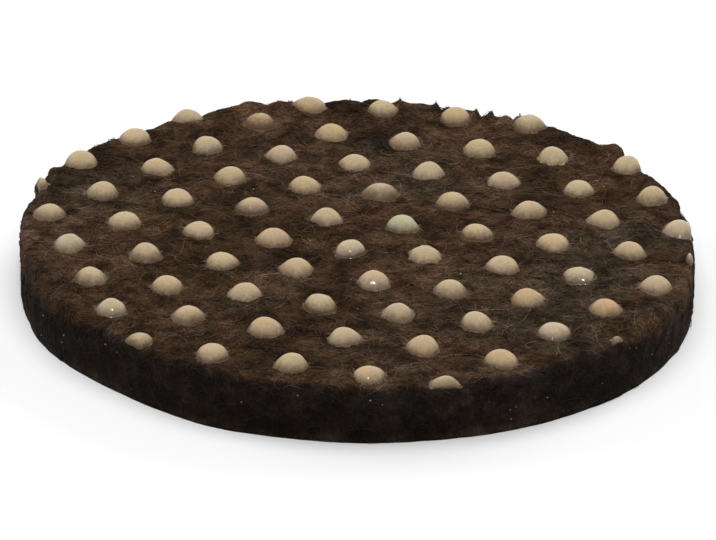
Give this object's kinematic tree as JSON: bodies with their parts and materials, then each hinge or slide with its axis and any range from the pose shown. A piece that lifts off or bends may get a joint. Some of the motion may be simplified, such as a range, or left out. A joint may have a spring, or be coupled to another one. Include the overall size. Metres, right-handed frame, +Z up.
{
  "type": "anti-slip pad",
  "caption": "Round felt pad with raised latex dots on one face, laid or stuck under furniture, drawers or small objects so that they neither slide nor scratch.",
  "frame": {"origin": "centre of the flat back face, which the pad rests on", "axes": "+Z is up, from the flat back face towards the dotted face; the pad's thickness lies along Z and its diameter in X and Y"},
  "size_m": [0.04, 0.04, 0.0041],
  "materials": {
    "felt": "dark brown needled felt, matt, with loose curled fibres",
    "latex": "cream cured latex, satin, slightly translucent"
  },
  "bodies": {
    "root": {"felt_pad_with_latex_dots": "felt"}
  },
  "joints": []
}
